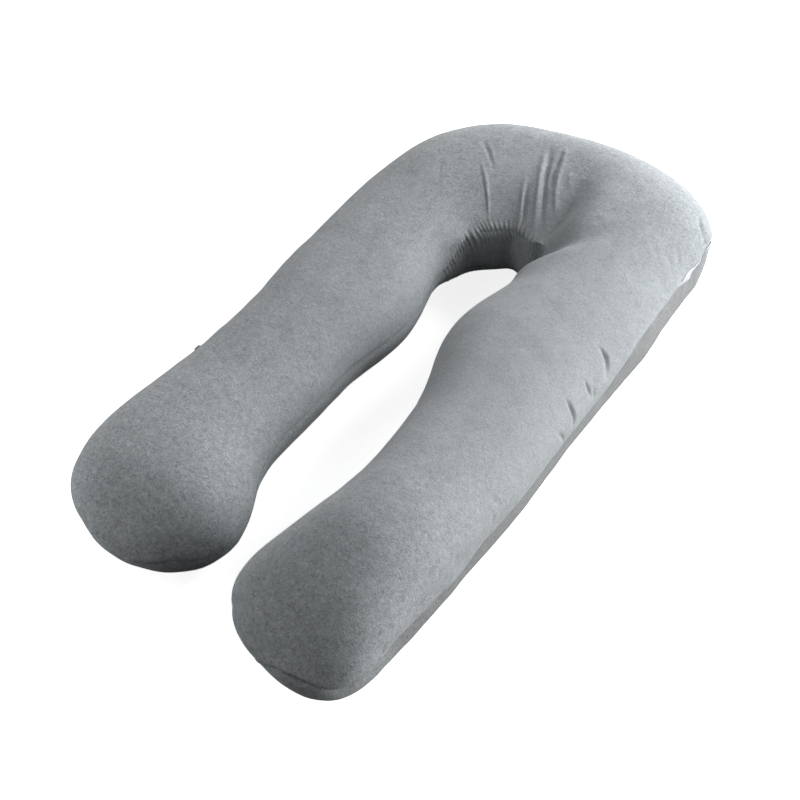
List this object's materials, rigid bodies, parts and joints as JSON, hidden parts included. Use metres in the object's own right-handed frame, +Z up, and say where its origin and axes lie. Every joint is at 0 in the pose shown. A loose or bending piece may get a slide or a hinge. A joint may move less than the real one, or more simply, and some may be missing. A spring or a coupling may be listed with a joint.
{
  "type": "body pillow",
  "caption": "U-shaped body pillow for side sleeping: a plump filled tube bent into a U, in a heather-grey jersey cover with a seam round its sides, a white zip at one corner and a loop label",
  "frame": {"origin": "on the floor, at the middle of the footprint's bounding box", "axes": "+Y runs from the two arm ends to the bend, +X to the arm with the zip, +Z up from the flat underside"},
  "size_m": [0.6995, 1.2863, 0.2302],
  "materials": {
    "jersey": "brushed heather-grey cotton jersey, matt",
    "zip_tape": "white woven nylon zip tape",
    "label_tape": "dark grey woven tape, blank"
  },
  "bodies": {
    "root": {"pillow": "jersey", "zip_tape": "zip_tape", "side_label": "label_tape"}
  },
  "joints": []
}
